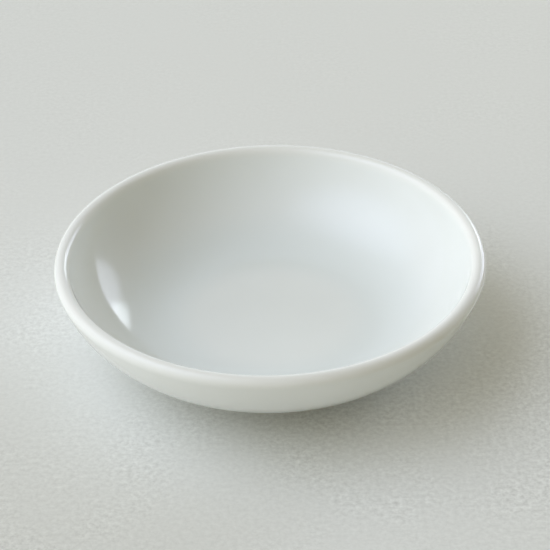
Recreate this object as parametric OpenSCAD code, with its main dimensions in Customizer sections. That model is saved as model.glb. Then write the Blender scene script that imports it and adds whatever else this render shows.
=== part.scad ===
// Soy sauce dish in white porcelain: a coupe bowl with a full-round lip, on a low foot ring.
// The clay body is one pressed and turned piece. A glaze coat covers it from the well, over the lip and
// down to the foot, a second patch of glaze fills the recess inside the foot ring, and the standing rim
// of the foot is left bare. All sizes of the outside are over the glaze, in millimetres.

/* [Dish] */
// Diameter over the lip
dish_d = 95; // [86:1:130]
// Height from the table to the top of the lip
dish_h = 24; // [21:0.5:28]

/* [Wall] */
// Thickness of the wall and of the well's floor
wall_t = 3.3; // [2.6:0.1:4.2]
// Radius of the wall's curve, on the outside
wall_r = 26.5; // [25:0.5:34]

/* [Foot ring] */
// Height of the dish's underside above the table
foot_h = 3.5; // [2.6:0.1:4.4]
// Diameter of the foot ring at the table
foot_d = 45; // [40:0.5:50]
// Width of the foot ring at the table
foot_w = 3.4; // [2.6:0.1:4.4]
// Lean of the foot ring's two sides, in degrees from upright
foot_draft = 9; // [0:1:16]
// Bevel along both edges of the standing rim
foot_bevel = 0.5; // [0.2:0.1:0.8]
// Radius of the hollow where the foot ring meets the wall
foot_fillet = 1.4; // [0.8:0.1:2]

/* [Recess] */
// How much thicker the base is inside the foot ring than the wall
base_extra = 0.7; // [0:0.1:1]
// Radius of the hollow between the foot ring and the underside of the base
recess_fillet = 1.2; // [0.6:0.1:1.6]

/* [Glaze] */
// Thickness of the fired glaze
glaze_t = 0.25; // [0.15:0.05:0.4]
// Height of the band at the bottom of the foot ring that is left bare
bare_h = 1; // [0.9:0.1:1.4]

/* [Hidden] */

// Facets of a drawn circle
$fn = 128;
// Overrun of every cut past the shape that it cuts
overrun = 1;
// Depth by which a rounding sinks into the surface that it blends with, so that the two cross cleanly
blend = 0.001;

// Lip: a circle around the end of the wall
lip_r = wall_t / 2 + blend;

// Wall: an arc that starts level at foot_h and ends under the lip, where its slope follows from the height
well_r = wall_r - wall_t;
mid_r = wall_r - wall_t / 2;
wall_slope = acos((foot_h + wall_r + lip_r - dish_h) / mid_r);
curve_centre = [dish_d / 2 - lip_r - mid_r * sin(wall_slope), foot_h + wall_r];
lip_centre = curve_centre + mid_r * [sin(wall_slope), -cos(wall_slope)];

// Well and base: the flat middle of the inside, and the recess below it
well_z = foot_h + wall_t;
recess_z = foot_h - base_extra;
base_mid_z = (recess_z + well_z) / 2;

// Foot ring: its two sides lean away from each other as they rise into the wall
foot_out_r = foot_d / 2;
foot_in_r = foot_out_r - foot_w;
foot_mid_r = (foot_out_r + foot_in_r) / 2;
foot_top_z = curve_centre[1] - sqrt(mid_r ^ 2 - max(0, foot_out_r - curve_centre[0]) ^ 2);
out_up = [sin(foot_draft), cos(foot_draft)];
out_side = [cos(foot_draft), -sin(foot_draft)];
in_up = [-sin(foot_draft), cos(foot_draft)];
in_side = [-cos(foot_draft), -sin(foot_draft)];

// Hollow outside the foot: a circle that touches the foot's side and the underside, which is flat below the
// well and follows the wall's arc farther out
out_start = [foot_out_r, 0] + foot_fillet * out_side;
out_flat = out_start + out_up * (foot_h - foot_fillet - out_start[1]) / out_up[1];
out_reach = out_start - curve_centre;
out_along = out_reach * out_up;
out_rise = -out_along - sqrt(out_along ^ 2 - out_reach * out_reach + (wall_r + foot_fillet) ^ 2);
out_hollow = out_flat[0] <= curve_centre[0] ? out_flat : out_start + out_rise * out_up;
out_anchor = [min(out_hollow[0], curve_centre[0]), curve_centre[1]];
out_inward = (out_hollow - out_anchor) / norm(out_hollow - out_anchor);

// Hollow inside the foot: a circle that touches the foot's side and the underside of the base
in_start = [foot_in_r, 0] + recess_fillet * in_side;
in_hollow = in_start + in_up * (recess_z - recess_fillet - in_start[1]) / in_up[1];

// Half section of the curved wall between its two arcs, from level up to the lip
module wall_section(inset) {
    reach = 2 * wall_r;
    translate(curve_centre)
        intersection() {
            difference() {
                circle(r = wall_r - inset);
                circle(r = well_r + inset);
            }
            polygon([[0, 0], [0, -reach], [reach, -reach], reach * [sin(wall_slope), -cos(wall_slope)]]);
        }
}

// Half section of the full-round lip
module lip_section(inset) {
    translate(lip_centre)
        circle(r = lip_r - inset);
}

// Half section of the well's flat floor
module well_section(inset) {
    translate([0, foot_h + inset])
        square([curve_centre[0], wall_t - 2 * inset]);
}

// Half section of the base inside the foot ring
module base_section(inset) {
    translate([0, recess_z + inset])
        square([foot_mid_r, base_mid_z - recess_z - inset]);
}

// Half section of the foot ring, with its bevelled standing rim
module foot_section(inset) {
    step = inset / cos(foot_draft);
    out_r = foot_out_r - step;
    in_r = foot_in_r + step;
    polygon([
        [in_r, 0] + foot_top_z * in_up / in_up[1],
        [in_r, 0] + foot_bevel * in_up / in_up[1],
        [in_r + foot_bevel, 0],
        [out_r - foot_bevel, 0],
        [out_r, 0] + foot_bevel * out_up / out_up[1],
        [out_r, 0] + foot_top_z * out_up / out_up[1]
    ]);
}

// Half section of the rounded corner between the foot ring and the wall
module foot_corner_section(inset) {
    difference() {
        polygon([
            out_hollow,
            out_anchor + mid_r * out_inward,
            [foot_mid_r, foot_top_z],
            out_hollow - (foot_fillet + foot_w / 2) * out_side
        ]);
        translate(out_hollow)
            circle(r = foot_fillet + blend + inset);
    }
}

// Half section of the rounded corner between the foot ring and the base
module recess_corner_section(inset) {
    difference() {
        polygon([
            in_hollow,
            in_hollow - (recess_fillet + foot_w / 2) * in_side,
            [foot_mid_r, base_mid_z],
            [in_hollow[0], base_mid_z]
        ]);
        translate(in_hollow)
            circle(r = recess_fillet + blend + inset);
    }
}

// Half section of the whole dish, drawn in by inset everywhere but on the standing rim
module dish_section(inset) {
    wall_section(inset);
    lip_section(inset);
    well_section(inset);
    base_section(inset);
    foot_section(inset);
    foot_corner_section(inset);
    recess_corner_section(inset);
}

// Half section of the glaze: the skin between the finished dish and its body, above the bare band
module glaze_section() {
    difference() {
        dish_section(0);
        dish_section(glaze_t);
        translate([0, -overrun])
            square([dish_d, bare_h + overrun]);
    }
}

// The space inside the foot ring, up to the middle of the base
module recess_side() {
    translate([-overrun, -overrun])
        square([foot_mid_r + overrun, base_mid_z + overrun]);
}

// Fired clay: well, wall, lip and foot ring in one piece
module porcelain_body() {
    color([0.90, 0.885, 0.85])
        rotate_extrude()
            dish_section(glaze_t);
}

// White gloss glaze over the well, the lip and the outside, down to the bare band of the foot
module glaze_coat() {
    color([0.93, 0.945, 0.94])
        rotate_extrude()
            difference() {
                glaze_section();
                recess_side();
            }
}

// The same glaze inside the foot ring
module base_glaze() {
    color([0.93, 0.945, 0.94])
        rotate_extrude()
            intersection() {
                glaze_section();
                recess_side();
            }
}

porcelain_body();
glaze_coat();
base_glaze();
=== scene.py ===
# %% [markdown]
# # A white porcelain soy sauce dish
# The dish is a small coupe bowl: a flat well, a wall that rises in one arc, a full-round lip and a
# low foot ring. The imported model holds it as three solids, the fired clay body and two patches of
# glaze. This lesson turns smooth meshes in their place, gives them their glaze and their bare clay,
# and lights them softly from the left.

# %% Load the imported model
import math

import bpy
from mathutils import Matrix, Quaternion, Vector


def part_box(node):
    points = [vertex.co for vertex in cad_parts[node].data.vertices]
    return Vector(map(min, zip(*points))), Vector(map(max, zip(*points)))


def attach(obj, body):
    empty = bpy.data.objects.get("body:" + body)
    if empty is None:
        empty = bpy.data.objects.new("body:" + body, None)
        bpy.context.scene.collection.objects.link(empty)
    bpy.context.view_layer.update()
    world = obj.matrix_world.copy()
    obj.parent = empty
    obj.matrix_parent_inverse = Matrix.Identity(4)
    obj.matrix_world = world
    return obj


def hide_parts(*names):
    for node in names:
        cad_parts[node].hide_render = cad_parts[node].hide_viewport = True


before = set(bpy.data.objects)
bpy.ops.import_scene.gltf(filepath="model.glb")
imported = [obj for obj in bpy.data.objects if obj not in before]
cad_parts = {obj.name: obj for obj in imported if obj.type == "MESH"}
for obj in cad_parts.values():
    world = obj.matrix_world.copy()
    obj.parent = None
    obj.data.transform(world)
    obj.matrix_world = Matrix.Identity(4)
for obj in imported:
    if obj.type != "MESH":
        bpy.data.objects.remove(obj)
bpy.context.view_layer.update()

# %% [markdown]
# ## Camera
# The photograph looks down on the dish from about 35 degrees, through a long lens from half a metre
# away. A long lens keeps the near and the far side of the lip almost alike, so the lip draws a
# clean ellipse. The camera is set by where it stands and what it aims at, which needs no lens
# shift, and a hair of roll finishes the match.

# %% Camera at the photograph's angle
MM = 0.001
PICTURE_PX = 550
FOCAL_PX = 2241
SENSOR_MM = 36
CAMERA_DISTANCE = 500 * MM
CAMERA_ELEVATION = math.radians(34.6)
CAMERA_ROLL = math.radians(-1.1)
MIDDLE_OF_DISH = Vector((0, 0, 12 * MM))
# The middle of the dish lies this many pixels right of and above the middle of the picture
MIDDLE_RIGHT_PX = -4.7
MIDDLE_UP_PX = -22.5


def new_object(name, data):
    """A new object that holds the data, linked to the scene."""
    made = bpy.data.objects.new(name, data)
    bpy.context.scene.collection.objects.link(made)
    return made


camera_data = bpy.data.cameras.new("camera")
camera_data.sensor_width = SENSOR_MM
camera_data.lens = FOCAL_PX / PICTURE_PX * SENSOR_MM
camera = new_object("camera", camera_data)
bpy.context.scene.camera = camera

back = Vector((0, -math.cos(CAMERA_ELEVATION), math.sin(CAMERA_ELEVATION)))
right = Vector((1, 0, 0))
up = back.cross(right)
px_at_dish = CAMERA_DISTANCE / FOCAL_PX
camera.location = MIDDLE_OF_DISH + back * CAMERA_DISTANCE
aim = MIDDLE_OF_DISH - (right * MIDDLE_RIGHT_PX + up * MIDDLE_UP_PX) * px_at_dish
camera.rotation_mode = "QUATERNION"
look = (aim - camera.location).to_track_quat("-Z", "Y")
camera.rotation_quaternion = look @ Quaternion((0, 0, 1), CAMERA_ROLL)
print("camera at", [round(v, 4) for v in camera.location], "lens", round(camera_data.lens, 1))

# %% [markdown]
# ## Profile
# A dish like this is shaped on a wheel: a profiled tool presses the soft clay against a turning
# mould. So the whole form is one half section, turned about the upright axis. The section is
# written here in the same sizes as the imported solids, from a few lengths and arcs. An inset draws
# it inwards, which gives the clay under the glaze.

# %% Sizes of the half section
glaze_low, glaze_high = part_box("glaze_coat")
recess_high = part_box("base_glaze")[1]
DISH_R = max(glaze_high.x, glaze_high.y)
DISH_H = glaze_high.z
BARE_H = glaze_low.z
GLAZE_T = 0.25 * MM
RECESS_Z = recess_high.z - GLAZE_T
WALL_T = 3.3 * MM
WALL_R = 26.5 * MM
FOOT_H = 3.5 * MM
FOOT_OUT_R = 22.5 * MM
FOOT_W = 3.4 * MM
FOOT_DRAFT = math.radians(9)
FOOT_BEVEL = 0.5 * MM
FOOT_FILLET = 1.4 * MM
RECESS_FILLET = 1.2 * MM

LIP_R = WALL_T / 2
WELL_R = WALL_R - WALL_T
MID_R = WALL_R - LIP_R
WALL_SLOPE = math.acos((FOOT_H + WALL_R + LIP_R - DISH_H) / MID_R)
CURVE_X = DISH_R - LIP_R - MID_R * math.sin(WALL_SLOPE)
CURVE_Z = FOOT_H + WALL_R
LIP_X = CURVE_X + MID_R * math.sin(WALL_SLOPE)
LIP_Z = CURVE_Z - MID_R * math.cos(WALL_SLOPE)
WELL_Z = CURVE_Z - WELL_R
FOOT_IN_R = FOOT_OUT_R - FOOT_W

print("slope under the lip:", round(math.degrees(WALL_SLOPE), 1), "degrees")
print("flat well:", round(CURVE_X / MM, 2), "mm in radius")

# %% Arcs and straight runs
ARC_STEP = 0.5 * MM
RUN_STEP = 1 * MM
LEAST_ARC_STEPS = 10


def arc(centre_x, centre_z, radius, start, end):
    """Points on an arc, ends included. Angle 0 points outwards and a quarter turn points up."""
    steps = max(LEAST_ARC_STEPS, round(abs(end - start) * radius / ARC_STEP))
    turns = [start + (end - start) * i / steps for i in range(steps + 1)]
    return [(centre_x + radius * math.cos(t), centre_z + radius * math.sin(t)) for t in turns]


def run(x0, z0, x1, z1):
    """Points along a straight run, without its far end."""
    steps = max(1, round(math.hypot(x1 - x0, z1 - z0) / RUN_STEP))
    return [(x0 + (x1 - x0) * i / steps, z0 + (z1 - z0) * i / steps) for i in range(steps)]


def foot_hollow():
    """Centre of the hollow that blends the foot's outer side with the wall's arc."""
    side_x, side_z = math.cos(FOOT_DRAFT), -math.sin(FOOT_DRAFT)
    up_x, up_z = math.sin(FOOT_DRAFT), math.cos(FOOT_DRAFT)
    start_x = FOOT_OUT_R + FOOT_FILLET * side_x
    start_z = FOOT_FILLET * side_z
    reach_x, reach_z = start_x - CURVE_X, start_z - CURVE_Z
    along = reach_x * up_x + reach_z * up_z
    rise = -along - math.sqrt(along ** 2 - reach_x ** 2 - reach_z ** 2 + (WALL_R + FOOT_FILLET) ** 2)
    return start_x + rise * up_x, start_z + rise * up_z


HOLLOW_X, HOLLOW_Z = foot_hollow()
print("hollow above the foot at", round(HOLLOW_X / MM, 2), "mm out and", round(HOLLOW_Z / MM, 2), "mm up")

# %% Faces of the half section


def outer_section(inset):
    """The face from the glaze line on the foot, over the lip and down to the middle of the well."""
    side = math.pi - FOOT_DRAFT
    to_wall = math.atan2(CURVE_Z - HOLLOW_Z, CURVE_X - HOLLOW_X)
    lip = WALL_SLOPE - math.pi / 2
    down = -math.pi / 2
    hollow = arc(HOLLOW_X, HOLLOW_Z, FOOT_FILLET + inset, side, to_wall)
    foot_x = FOOT_OUT_R + BARE_H * math.tan(FOOT_DRAFT) - inset / math.cos(FOOT_DRAFT)
    points = run(foot_x, BARE_H, *hollow[0]) + hollow
    points += arc(CURVE_X, CURVE_Z, WALL_R - inset, to_wall - math.pi, lip)[1:]
    points += arc(LIP_X, LIP_Z, LIP_R - inset, lip, lip + math.pi)[1:]
    points += arc(CURVE_X, CURVE_Z, WELL_R + inset, lip, down)[1:-1]
    points += run(CURVE_X, WELL_Z - inset, 0, WELL_Z - inset)
    return points + [(0, WELL_Z - inset)]


def recess_section(inset):
    """The face inside the foot ring, from its middle to the glaze line on the foot's inner side."""
    hollow_z = RECESS_Z - RECESS_FILLET
    hollow_x = FOOT_IN_R - hollow_z * math.tan(FOOT_DRAFT) - RECESS_FILLET / math.cos(FOOT_DRAFT)
    hollow = arc(hollow_x, hollow_z, RECESS_FILLET + inset, math.pi / 2, FOOT_DRAFT)
    foot_x = FOOT_IN_R - BARE_H * math.tan(FOOT_DRAFT) + inset / math.cos(FOOT_DRAFT)
    points = run(0, RECESS_Z + inset, *hollow[0]) + hollow[:-1]
    return points + run(*hollow[-1], foot_x, BARE_H) + [(foot_x, BARE_H)]


def rim_section(inset):
    """The bare standing rim, from its inner to its outer glaze line."""
    step = inset / math.cos(FOOT_DRAFT)
    lean = math.tan(FOOT_DRAFT)
    in_x, out_x = FOOT_IN_R + step, FOOT_OUT_R - step
    return [
        (in_x - BARE_H * lean, BARE_H),
        (in_x - FOOT_BEVEL * lean, FOOT_BEVEL),
        (in_x + FOOT_BEVEL, 0),
        (out_x - FOOT_BEVEL, 0),
        (out_x + FOOT_BEVEL * lean, FOOT_BEVEL),
        (out_x + BARE_H * lean, BARE_H),
    ]


print("outer face has", len(outer_section(0)), "points, recess has", len(recess_section(0)))

# %% [markdown]
# ## Edges of the glaze and of the rim
# Molten glaze draws back from a wiped edge and freezes as a small round bead, so each patch of
# glaze ends in a nose that swells to a third of a millimetre and then settles to the even coat.
# Below it the bare rim is ground flat on a wet disc and its edges are rubbed off by hand. Both
# shapes are real points of the section, because they catch a thin line of light from the side that
# a bump could not give.

# %% Bead along the glaze line
BEAD_T = 0.33 * MM
BEAD_NOSE = 0.3 * MM
BEAD_LENGTH = 1.0 * MM
BEAD_STEPS = 14


def eased(share):
    """A share from 0 to 1 that starts and ends gently."""
    return share * share * (3 - 2 * share)


def bead(clay_x, lean):
    """Points over the rounded end of a glaze coat. Lean is 1 outside the foot ring and -1 inside."""
    points = []
    for i in range(1, BEAD_STEPS + 1):
        along = BEAD_LENGTH * (i / BEAD_STEPS) ** 2
        nose = min(1, along / BEAD_NOSE)
        settle = min(1, max(0, along - BEAD_NOSE) / (BEAD_LENGTH - BEAD_NOSE))
        thick = BEAD_T * math.sqrt(1 - (1 - nose) ** 2) - (BEAD_T - GLAZE_T) * eased(settle)
        x = clay_x + lean * (along * math.sin(FOOT_DRAFT) + thick * math.cos(FOOT_DRAFT))
        points.append((x, BARE_H + along * math.cos(FOOT_DRAFT) - thick * math.sin(FOOT_DRAFT)))
    return points


clay_out_x = outer_section(GLAZE_T)[0][0]
clay_in_x = recess_section(GLAZE_T)[-1][0]
out_bead = bead(clay_out_x, 1)
in_bead = bead(clay_in_x, -1)
print("bead on the foot reaches up to", round(out_bead[-1][1] / MM, 2), "mm")

# %% Rubbed edges of the standing rim
RIM_ROUND = 0.2 * MM
ROUND_STEPS = 6


def rubbed(points):
    """The open run of points with each inner corner replaced by a small curve."""
    softened = [points[0]]
    for before, corner, after in zip(points, points[1:], points[2:]):
        start = Vector(corner) + (Vector(before) - Vector(corner)).normalized() * RIM_ROUND
        end = Vector(corner) + (Vector(after) - Vector(corner)).normalized() * RIM_ROUND
        for i in range(ROUND_STEPS + 1):
            t = i / ROUND_STEPS
            bend = start * (1 - t) ** 2 + Vector(corner) * (2 * t * (1 - t)) + end * t ** 2
            softened.append((bend.x, bend.y))
    return softened + [points[-1]]


rim = rubbed(rim_section(GLAZE_T))
print("standing rim has", len(rim), "points, lowest at", min(z for x, z in rim))

# %% [markdown]
# ## Turned meshes
# Each piece is a closed half section turned once around. A screw modifier could do it too; turning
# in code lets the middle close in a single point and lets every point pass through the same kiln
# warp. Porcelain softens in the fire, so no lip stays quite round or level. A tenth of a millimetre
# is enough to keep the long highlights from looking machined, and clay and glaze move together so
# that they stay in contact.

# %% Kiln warp
OUT_OF_ROUND = 0.09 * MM
OUT_OF_LEVEL = 0.07 * MM
ROUND_TURN = math.radians(25)
LEVEL_TURN = math.radians(70)


def fired(x, angle, z):
    """A point of the turned section after the fire. The foot and the middle of the well stay in place."""
    rise = min(1, max(0, (z - FOOT_H) / (DISH_H - FOOT_H)))
    share = eased(rise) * (x / DISH_R) ** 2
    x += share * OUT_OF_ROUND * math.cos(2 * (angle - ROUND_TURN))
    z += share * OUT_OF_LEVEL * math.cos(2 * (angle - LEVEL_TURN))
    return x * math.cos(angle), x * math.sin(angle), z


print("lip after the fire:", [round(v / MM, 3) for v in fired(LIP_X, 0, DISH_H)], "mm")

# %% Turn a half section about the upright axis
SEGMENTS = 240
ON_AXIS = 1e-9


def turn(name, section):
    """A closed mesh made by turning a closed half section. Points on the axis become single poles."""
    vertices = []
    rings = []
    for x, z in section:
        if x < ON_AXIS:
            rings.append([len(vertices)] * SEGMENTS)
            vertices.append((0, 0, z))
            continue
        rings.append(list(range(len(vertices), len(vertices) + SEGMENTS)))
        vertices += [fired(x, 2 * math.pi * i / SEGMENTS, z) for i in range(SEGMENTS)]
    faces = []
    for ring, after in zip(rings, rings[1:] + rings[:1]):
        # From pole to pole the section runs along the axis, which sweeps no face
        if ring[0] == ring[1] and after[0] == after[1]:
            continue
        for i in range(SEGMENTS):
            j = (i + 1) % SEGMENTS
            corners = [ring[i], ring[j], after[j], after[i]]
            faces.append(list(dict.fromkeys(corners)))
    mesh = bpy.data.meshes.new(name)
    mesh.from_pydata(vertices, [], faces)
    mesh.validate()
    mesh.shade_smooth()
    print(name, "has", len(mesh.vertices), "vertices and", len(mesh.polygons), "faces")
    return new_object(name, mesh)


print("a section is turned in", SEGMENTS, "steps of", 360 / SEGMENTS, "degrees")

# %% Clay body and two patches of glaze
CLEAR_STEP = ARC_STEP / 4


def above(points, z):
    """The points that lie clear above a height."""
    return [point for point in points if point[1] > z + CLEAR_STEP]


out_top = out_bead[-1][1]
coat_section = out_bead + above(outer_section(0), out_top) + outer_section(GLAZE_T)[::-1]
in_top = in_bead[-1][1]
base_section = above(recess_section(0), in_top) + in_bead[::-1] + recess_section(GLAZE_T)[::-1]
body_section = rim[1:-1] + outer_section(GLAZE_T) + recess_section(GLAZE_T)

glaze = turn("glaze_over_dish", coat_section)
base = turn("glaze_inside_foot", base_section)
body = turn("fired_clay_body", body_section)

for piece, node, slot in [
    (glaze, "glaze_coat", "glaze"),
    (base, "base_glaze", "glaze"),
    (body, "porcelain_body", "porcelain"),
]:
    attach(piece, "root")
    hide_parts(node)

# %% [markdown]
# ## Materials
# Every finish starts from what the real surface is. Colours are written as sRGB hex values, the way
# a paint program shows them, and one function turns them into the linear numbers that the sockets
# take. Patterns are laid out in the object's own metres, so a grain of a third of a millimetre
# keeps that size on every piece.

# %% Colours, sizes and nodes
# A mix node has sockets for each kind of data under the same names, so those for colours go by number
MIX_A, MIX_B, MIXED = 6, 7, 2


def linear(hex_colour):
    """An sRGB hex colour as the linear values that Blender's sockets take."""
    shares = [int(hex_colour[i:i + 2], 16) / 255 for i in (1, 3, 5)]
    return [s / 12.92 if s <= 0.04045 else ((s + 0.055) / 1.055) ** 2.4 for s in shares] + [1]


def per(size_mm):
    """The texture scale at which one step of a pattern is this many millimetres long."""
    return 1 / (size_mm * MM)


def add(tree, kind, settings=None, *sources):
    """Adds a node. Sources link to its sockets in order. Settings name its properties and other sockets."""
    node = tree.nodes.new(kind)
    for key, value in list((settings or {}).items()) + list(enumerate(sources)):
        if isinstance(value, bpy.types.Node):
            value = value.outputs[0]
        if isinstance(value, bpy.types.NodeSocket):
            tree.links.new(value, node.inputs[key])
        elif isinstance(key, str) and hasattr(node, key):
            setattr(node, key, value)
        else:
            node.inputs[key].default_value = value
    return node


def new_material(name):
    """An empty material and its node tree."""
    material = bpy.data.materials.new(name)
    material.use_nodes = True
    material.node_tree.nodes.clear()
    return material, material.node_tree


print("a mid grey is", [round(v, 3) for v in linear("#808080")])

# %% [markdown]
# ## Glaze
# The glaze is a clear felspar glass, fired onto white porcelain until it runs smooth. The eye sees
# the white clay through it and the lights on top of it. One principled shader does both: a pale
# base colour for the clay and a sharp specular layer at the index of glass. The glass thins over
# the lip, where the cream clay shows a little more, and gathers in the corner of the well and above
# the foot, where it looks a trace cooler. A glaze never freezes quite flat: slow ripples a few
# millimetres long bend the reflections slightly.

# %% Clear gloss glaze on white porcelain
GLAZE_WHITE = "#ECEFED"
GLAZE_SHADE = "#E9ECEA"
GLAZE_POOLED = "#E6EBEA"
GLAZE_THIN = "#EFF0ED"
GLASS_IOR = 1.5
CLOUD_MM = 34
CLOUD_LOW, CLOUD_HIGH = 0.35, 0.65
POOL_START_R, POOL_FULL_R = 15 * MM, 24 * MM
POOL_START_Z, POOL_FULL_Z = 13 * MM, 7 * MM
THIN_START_Z, THIN_FULL_Z = 21.5 * MM, 23.8 * MM
SMEAR_MM = 11
SMEAR_LOW, SMEAR_HIGH = 0.3, 0.7
CLEAN_ROUGHNESS, WIPED_ROUGHNESS = 0.06, 0.1
RIPPLE_MM = 6
RIPPLE_HEIGHT = 0.006 * MM


def glazed_porcelain():
    """A sharp layer of glass over white clay, with thin, pooled and wiped places."""
    material, tree = new_material("clear gloss glaze on white porcelain")
    place = add(tree, "ShaderNodeTexCoord").outputs["Object"]
    height = add(tree, "ShaderNodeSeparateXYZ", None, place).outputs["Z"]
    outward = add(tree, "ShaderNodeVectorMath", {"operation": "MULTIPLY", 1: (1, 1, 0)}, place)
    radius = add(tree, "ShaderNodeVectorMath", {"operation": "LENGTH"}, outward).outputs["Value"]

    # The clay is never one even white: broad, faint clouds
    cloud = add(tree, "ShaderNodeTexNoise", {"Scale": per(CLOUD_MM), "Detail": 2}, place)
    cloudy = add(tree, "ShaderNodeMapRange", {"From Min": CLOUD_LOW, "From Max": CLOUD_HIGH}, cloud)
    tone = add(tree, "ShaderNodeMix", {
        "data_type": "RGBA", MIX_A: linear(GLAZE_SHADE), MIX_B: linear(GLAZE_WHITE)}, cloudy).outputs[MIXED]

    # Glass gathers low down, in a ring where the wall leaves the well and the foot
    rising = add(tree, "ShaderNodeMapRange", {
        "interpolation_type": "SMOOTHSTEP", "From Min": POOL_START_R, "From Max": POOL_FULL_R}, radius)
    low = add(tree, "ShaderNodeMapRange", {
        "interpolation_type": "SMOOTHSTEP", "From Min": POOL_START_Z, "From Max": POOL_FULL_Z}, height)
    pool = add(tree, "ShaderNodeMath", {"operation": "MULTIPLY"}, rising, low)
    pooled = add(tree, "ShaderNodeMix", {
        "data_type": "RGBA", MIX_A: tone, MIX_B: linear(GLAZE_POOLED)}, pool).outputs[MIXED]

    # Over the lip the glass is thin
    thin = add(tree, "ShaderNodeMapRange", {
        "interpolation_type": "SMOOTHSTEP", "From Min": THIN_START_Z, "From Max": THIN_FULL_Z}, height)
    colour = add(tree, "ShaderNodeMix", {
        "data_type": "RGBA", MIX_A: pooled, MIX_B: linear(GLAZE_THIN)}, thin).outputs[MIXED]

    # Wiped and handled glass: a little duller here and there
    smear = add(tree, "ShaderNodeTexNoise", {"Scale": per(SMEAR_MM), "Detail": 4, "Roughness": 0.6}, place)
    gloss = add(tree, "ShaderNodeMapRange", {
        "From Min": SMEAR_LOW, "From Max": SMEAR_HIGH,
        "To Min": CLEAN_ROUGHNESS, "To Max": WIPED_ROUGHNESS}, smear)

    ripple = add(tree, "ShaderNodeTexNoise", {"Scale": per(RIPPLE_MM), "Detail": 1}, place)
    bent = add(tree, "ShaderNodeBump", {"Distance": RIPPLE_HEIGHT, "Height": ripple})
    shader = add(tree, "ShaderNodeBsdfPrincipled", {
        "IOR": GLASS_IOR, "Base Color": colour, "Roughness": gloss, "Normal": bent})
    add(tree, "ShaderNodeOutputMaterial", None, shader)
    return material


glaze_material = glazed_porcelain()
glaze.data.materials.append(glaze_material)
base.data.materials.append(glaze_material)
print(glaze_material.name, "has", len(glaze_material.node_tree.nodes), "nodes")

# %% [markdown]
# ## Bare clay
# The standing rim is wiped clean of glaze before the fire, so that the dish does not stick to its
# shelf, and ground smooth afterwards. It is the same porcelain without its glass: chalky, a little
# creamier, with fine grit and the round scratches of the grinding disc. Just under the glaze the
# clay takes up some of the melt and turns tan. The grit of real porcelain is too fine to show, so
# it is drawn at a third of a millimetre.

# %% Bare ground porcelain
CLAY_PALE = "#E6DFD1"
CLAY_GRIT = "#D6CCB8"
CLAY_FLASHED = "#CBAF87"
CLAY_IOR = 1.5
SMOOTH_ROUGHNESS, GRITTY_ROUGHNESS = 0.65, 0.85
GRIT_MM = 0.3
GRIT_LOW, GRIT_HIGH = 0.4, 0.75
SCRATCH_MM = 0.35
SCRATCH_WANDER = 1.5
CLAY_RELIEF = 0.02 * MM
CLAY_BUMP = 0.7
FLASH_START_Z = 0.55 * MM
# At a scale of 1 the wave texture has this many rings in one unit of length
RINGS_PER_UNIT = 20 / (2 * math.pi)


def bare_porcelain():
    """Chalky ground clay with grit, round scratches and a tan line under the glaze."""
    material, tree = new_material("bare ground porcelain")
    place = add(tree, "ShaderNodeTexCoord").outputs["Object"]
    height = add(tree, "ShaderNodeSeparateXYZ", None, place).outputs["Z"]
    grit = add(tree, "ShaderNodeTexNoise", {"Scale": per(GRIT_MM), "Detail": 2}, place)
    specks = add(tree, "ShaderNodeMapRange", {"From Min": GRIT_LOW, "From Max": GRIT_HIGH}, grit)
    clay = add(tree, "ShaderNodeMix", {
        "data_type": "RGBA", MIX_A: linear(CLAY_PALE), MIX_B: linear(CLAY_GRIT)}, specks).outputs[MIXED]
    flash = add(tree, "ShaderNodeMapRange", {
        "interpolation_type": "SMOOTHSTEP", "From Min": FLASH_START_Z, "From Max": BARE_H}, height)
    colour = add(tree, "ShaderNodeMix", {
        "data_type": "RGBA", MIX_A: clay, MIX_B: linear(CLAY_FLASHED)}, flash).outputs[MIXED]

    scratches = add(tree, "ShaderNodeTexWave", {
        "wave_type": "RINGS", "rings_direction": "Z", "Scale": per(SCRATCH_MM) / RINGS_PER_UNIT,
        "Distortion": SCRATCH_WANDER, "Detail": 2}, place).outputs["Fac"]
    relief = add(tree, "ShaderNodeMath", {"operation": "ADD"}, scratches, grit)
    bent = add(tree, "ShaderNodeBump", {"Distance": CLAY_RELIEF, "Strength": CLAY_BUMP, "Height": relief})
    dull = add(tree, "ShaderNodeMapRange", {"To Min": SMOOTH_ROUGHNESS, "To Max": GRITTY_ROUGHNESS}, grit)
    shader = add(tree, "ShaderNodeBsdfPrincipled", {
        "IOR": CLAY_IOR, "Base Color": colour, "Roughness": dull, "Normal": bent})
    add(tree, "ShaderNodeOutputMaterial", None, shader)
    return material


clay_material = bare_porcelain()
body.data.materials.append(clay_material)
print(clay_material.name, "has", len(clay_material.node_tree.nodes), "nodes")

# %% [markdown]
# ## Floor
# The dish stands on a pale plaster slab. Trowelled plaster is matt with a low sheen, and its sand
# leaves pits and pale grains about a millimetre wide, which fade towards the far side. A flat sheet
# is enough for it: the grain is far finer than the dish, and a plain floor keeps the eye on the
# shadow.

# %% Flat slab
FLOOR_SIDE = 24

half = FLOOR_SIDE / 2
floor_mesh = bpy.data.meshes.new("floor")
corners = [(-half, -half, 0), (half, -half, 0), (half, half, 0), (-half, half, 0)]
floor_mesh.from_pydata(corners, [], [(0, 1, 2, 3)])
floor = new_object("floor", floor_mesh)
print("floor is", FLOOR_SIDE, "m across")

# %% Trowelled pale plaster
PLASTER_DARK = "#C8C8C4"
PLASTER_PALE = "#F8F9F6"
PLASTER_IOR = 1.45
PLASTER_ROUGHNESS = 0.7
PLASTER_SPECULAR = 0.2
SAND_MM = 1.1
SAND_SPREAD = 0.35
SAND_RELIEF = 0.05 * MM
SAND_BUMP = 0.5
TROWEL_MM = 45
TROWEL_LOW, TROWEL_HIGH = 0.4, 0.65
CLOSED_SHARE = 0.3
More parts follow.
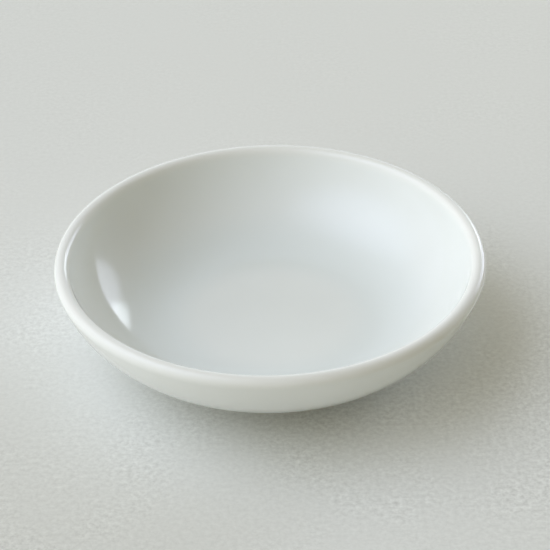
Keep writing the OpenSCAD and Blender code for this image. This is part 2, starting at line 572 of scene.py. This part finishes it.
# The sand shows little at the far place and most at the near one
FAR_Y, NEAR_Y = 110 * MM, -60 * MM
FAR_SHARE, NEAR_SHARE = 0.3, 1.5


def trowelled_plaster():
    """Matt plaster whose sand lies open in some places and is closed in others."""
    material, tree = new_material("trowelled pale plaster")
    place = add(tree, "ShaderNodeTexCoord").outputs["Object"]
    sand = add(tree, "ShaderNodeTexNoise", {"Scale": per(SAND_MM), "Detail": 4, "Roughness": 0.65}, place)
    sweep = add(tree, "ShaderNodeTexNoise", {"Scale": per(TROWEL_MM), "Detail": 4, "Roughness": 0.6}, place)
    open_sand = add(tree, "ShaderNodeMapRange", {
        "interpolation_type": "SMOOTHSTEP", "From Min": TROWEL_LOW, "From Max": TROWEL_HIGH,
        "To Min": CLOSED_SHARE}, sweep)
    even_sand = add(tree, "ShaderNodeMath", {"operation": "SUBTRACT", 1: 0.5}, sand)
    patchy = add(tree, "ShaderNodeMath", {"operation": "MULTIPLY"}, even_sand, open_sand)

    # The far part of the slab was trowelled longer, so its sand is closed
    depth = add(tree, "ShaderNodeSeparateXYZ", None, place).outputs["Y"]
    opened = add(tree, "ShaderNodeMapRange", {
        "From Min": FAR_Y, "From Max": NEAR_Y, "To Min": FAR_SHARE, "To Max": NEAR_SHARE}, depth)
    showing = add(tree, "ShaderNodeMath", {"operation": "MULTIPLY"}, patchy, opened)

    grain = add(tree, "ShaderNodeMapRange", {"From Min": -SAND_SPREAD, "From Max": SAND_SPREAD}, showing)
    colour = add(tree, "ShaderNodeMix", {
        "data_type": "RGBA", MIX_A: linear(PLASTER_DARK),
        MIX_B: linear(PLASTER_PALE)}, grain).outputs[MIXED]
    bent = add(tree, "ShaderNodeBump", {"Distance": SAND_RELIEF, "Strength": SAND_BUMP, "Height": showing})
    shader = add(tree, "ShaderNodeBsdfPrincipled", {
        "IOR": PLASTER_IOR, "Roughness": PLASTER_ROUGHNESS, "Specular IOR Level": PLASTER_SPECULAR,
        "Base Color": colour, "Normal": bent})
    add(tree, "ShaderNodeOutputMaterial", None, shader)
    return material


plaster_material = trowelled_plaster()
floor_mesh.materials.append(plaster_material)
print(plaster_material.name, "has", len(plaster_material.node_tree.nodes), "nodes")

# %% [markdown]
# ## Light
# A large softbox high on the left gives the main light, soft and a little blue, so the shadow falls
# to the right with a wide edge. A gloss needs something to mirror: a small softbox behind the dish
# makes the bright patch on the left wall, a wider and cooler one draws its pale tail, and a low
# strip puts the thin line on the lip. A fill panel lifts the shaded wall and is kept out of the
# reflections. All of them fade towards their edges, because a lamp of even brightness would show a
# hard outline in the glaze.

# %% Direction of a lamp


def towards(azimuth, elevation):
    """The way from the dish to a lamp. Azimuth turns clockwise from straight behind the dish."""
    turn_by, rise = math.radians(azimuth), math.radians(elevation)
    level = math.cos(rise)
    return Vector((math.sin(turn_by) * level, math.cos(turn_by) * level, math.sin(rise)))


print("a lamp at the right lies towards", [round(v, 2) for v in towards(90, 0)])

# %% Main softbox, in metres, degrees and watts


def softbox(name, azimuth, elevation, distance, width, height, power, colour, even_share, lean=0):
    """An area lamp that faces the dish and fades from its even middle towards its edges."""
    data = bpy.data.lights.new(name, "AREA")
    data.shape = "RECTANGLE"
    data.size = width
    data.size_y = height
    data.energy = power
    data.color = linear(colour)[:3]
    data.use_nodes = True
    tree = data.node_tree

    # Parametric coordinates run from 0 to 1 across the lamp, so its middle and its half width are both 0.5
    across = add(tree, "ShaderNodeNewGeometry").outputs["Parametric"]
    middle = add(tree, "ShaderNodeVectorMath", {
        "operation": "DISTANCE", 1: (0.5, 0.5, 0)}, across).outputs["Value"]
    fade = add(tree, "ShaderNodeMapRange", {
        "interpolation_type": "SMOOTHSTEP", "From Min": 0.5, "From Max": 0.5 * even_share}, middle)
    tree.links.new(fade.outputs[0], tree.nodes["Emission"].inputs["Strength"])

    lamp = new_object(name, data)
    way = towards(azimuth, elevation)
    lamp.location = way * distance
    lamp.rotation_mode = "QUATERNION"
    lamp.rotation_quaternion = way.to_track_quat("Z", "Y") @ Quaternion((0, 0, 1), math.radians(lean))
    lamp.visible_camera = False
    print(name, "at", [round(v, 2) for v in lamp.location], "with", power, "W")
    return lamp


softbox(
    "main_softbox", azimuth=260, elevation=52, distance=1.5, width=2.9, height=2.2,
    power=42, colour="#CADDFF", even_share=0.1)

# %% Softboxes that the glaze mirrors, and the fill panel
softbox(
    "patch_softbox", azimuth=25.5, elevation=17.5, distance=1.6, width=0.4, height=0.7,
    power=4, colour="#EEF8FF", even_share=0.4, lean=12)
softbox(
    "tail_softbox", azimuth=41, elevation=15.5, distance=1.6, width=0.95, height=0.9,
    power=7.2, colour="#E4ECFF", even_share=0.5)
softbox(
    "lip_strip", azimuth=39, elevation=7, distance=1.6, width=1.35, height=0.2,
    power=2, colour="#E4ECFF", even_share=0.6)
fill_panel = softbox(
    "fill_panel", azimuth=41, elevation=10, distance=1.6, width=0.9, height=0.9,
    power=19, colour="#DFEBFF", even_share=0.5)
fill_panel.visible_glossy = False

# %% [markdown]
# ## Surroundings
# The rest of the light comes from the world: a weak warm glow from all sides and a white wash that
# grows towards the left. What the camera and the glaze see there is a plain pale backdrop instead,
# so that the gloss mirrors bright surroundings without more light falling on the dish.

# %% World light and pale backdrop
GLOW_COLOUR, GLOW = "#FFEB9F", 0.222
WASH_COLOUR, WASH = "#FEFFFD", 1.55
BACKDROP_COLOUR, BACKDROP = "#EDF4FF", 1

world = bpy.data.worlds.new("surroundings")
bpy.context.scene.world = world
world.use_nodes = True
tree = world.node_tree
tree.nodes.clear()
direction = add(tree, "ShaderNodeTexCoord").outputs["Generated"]
sideways = add(tree, "ShaderNodeSeparateXYZ", None, direction).outputs["X"]
leftward = add(tree, "ShaderNodeMapRange", {"From Max": -1, "To Max": WASH}, sideways)
glow = add(tree, "ShaderNodeBackground", {"Color": linear(GLOW_COLOUR), "Strength": GLOW})
wash = add(tree, "ShaderNodeBackground", {"Color": linear(WASH_COLOUR), "Strength": leftward})
falling = add(tree, "ShaderNodeAddShader", None, glow, wash)
backdrop = add(tree, "ShaderNodeBackground", {"Color": linear(BACKDROP_COLOUR), "Strength": BACKDROP})
path = add(tree, "ShaderNodeLightPath").outputs
looked = add(tree, "ShaderNodeMath", {"operation": "ADD"}, path["Is Camera Ray"], path["Is Glossy Ray"])
seen = add(tree, "ShaderNodeMath", {
    "operation": "ADD", "use_clamp": True}, looked, path["Is Transmission Ray"])
shown = add(tree, "ShaderNodeMixShader", None, seen, falling, backdrop)
add(tree, "ShaderNodeOutputWorld", None, shown)

bpy.context.scene.view_settings.view_transform = "Standard"
print("warm glow of", GLOW, "with a wash of", WASH)
